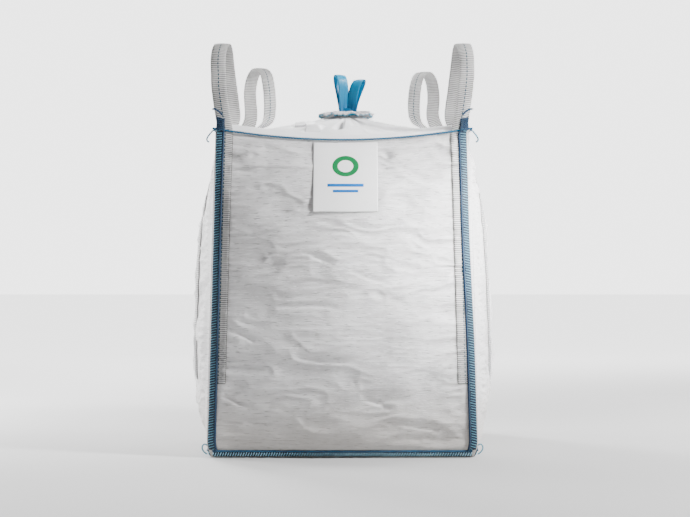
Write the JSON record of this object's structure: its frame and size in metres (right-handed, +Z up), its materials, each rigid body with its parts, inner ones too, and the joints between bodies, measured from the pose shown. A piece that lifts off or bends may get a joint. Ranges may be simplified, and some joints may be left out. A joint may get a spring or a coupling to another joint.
{
  "type": "bulk bag",
  "caption": "Filled woven bulk bag with overlocked corner seams, webbing lifting loops at the corners, a skirt top gathered and tied in a bow, and a hanging document label.",
  "frame": {"origin": "on the floor under the middle of the bag", "axes": "+Z up, the labelled front faces -Y, +X to the viewer's right"},
  "size_m": [1.0592, 1.0592, 1.3905],
  "materials": {
    "woven_cloth": "woven polypropylene tape cloth, slightly glossy",
    "skirt_cloth": "light woven polypropylene cloth",
    "bulk_product": "granules",
    "sewing_thread": "twisted thread",
    "webbing": "ribbed woven webbing with a tracer thread",
    "overlock_thread": "twisted overlock thread",
    "tie_tape": "glossy woven tape",
    "label_sheet": "smooth printed sheet",
    "green_print": "ink",
    "blue_print": "ink"
  },
  "bodies": {
    "bag": {"base_panel": "woven_cloth", "front_panel": "woven_cloth", "right_panel": "woven_cloth", "back_panel": "woven_cloth", "left_panel": "woven_cloth", "bulk_fill": "bulk_product", "top_skirt": "skirt_cloth", "skirt_hem": "overlock_thread", "neck_tie": "tie_tape", "tie_knot": "tie_tape", "corner_seam_front_left": "overlock_thread", "corner_seam_front_right": "overlock_thread", "corner_seam_back_right": "overlock_thread", "corner_seam_back_left": "overlock_thread", "base_seam_front": "overlock_thread", "base_seam_right": "overlock_thread", "base_seam_back": "overlock_thread", "base_seam_left": "overlock_thread", "top_seam": "overlock_thread", "leg_front_left": "webbing", "leg_front_right": "webbing", "leg_right_front": "webbing", "leg_right_back": "webbing", "leg_back_right": "webbing", "leg_back_left": "webbing", "leg_left_back": "webbing", "leg_left_front": "webbing", "leg_stitching_front": "sewing_thread", "leg_stitching_right": "sewing_thread", "leg_stitching_back": "sewing_thread", "leg_stitching_left": "sewing_thread", "tail_up_left": "overlock_thread", "tail_hook_left": "overlock_thread", "tail_up_right": "overlock_thread", "tail_hook_right": "overlock_thread", "tail_base_left": "overlock_thread", "tail_base_right": "overlock_thread"},
    "loop_front_left": {"lifting_loop_front_left": "webbing"},
    "loop_front_right": {"lifting_loop_front_right": "webbing"},
    "loop_back_right": {"lifting_loop_back_right": "webbing"},
    "loop_back_left": {"lifting_loop_back_left": "webbing"},
    "label": {"document_label": "label_sheet", "label_ring": "green_print", "label_bars": "blue_print"},
    "bow_left": {"bow_loop_left": "tie_tape"},
    "bow_right": {"bow_loop_right": "tie_tape"}
  },
  "joints": [
    {"name": "front_left_loop", "type": "hinge", "parent": "bag", "child": "loop_front_left", "pos_m": [-0.398, -0.42, 1.13], "axis": [-0.0883, -0.9939, 0.0663], "range_deg": [-45, 90]},
    {"name": "front_right_loop", "type": "hinge", "parent": "bag", "child": "loop_front_right", "pos_m": [0.398, -0.42, 1.13], "axis": [-0.0883, 0.9939, -0.0663], "range_deg": [-45, 90]},
    {"name": "back_left_loop", "type": "hinge", "parent": "bag", "child": "loop_back_left", "pos_m": [-0.398, 0.42, 1.13], "axis": [0.0885, -0.9951, -0.0442], "range_deg": [-8, 90]},
    {"name": "back_right_loop", "type": "hinge", "parent": "bag", "child": "loop_back_right", "pos_m": [0.398, 0.42, 1.13], "axis": [0.0885, 0.9951, 0.0442], "range_deg": [-8, 90]},
    {"name": "label_flap", "type": "hinge", "parent": "bag", "child": "label", "pos_m": [0.01, -0.4026, 1.052], "axis": [-1, 0, 0], "range_deg": [0, 100]},
    {"name": "bow_left_loop", "type": "hinge", "parent": "bag", "child": "bow_left", "pos_m": [0.005, -0.006, 1.215], "axis": [0, -1, 0], "range_deg": [0, 60]},
    {"name": "bow_right_loop", "type": "hinge", "parent": "bag", "child": "bow_right", "pos_m": [0.031, -0.006, 1.215], "axis": [0, 1, 0], "range_deg": [0, 55]}
  ]
}
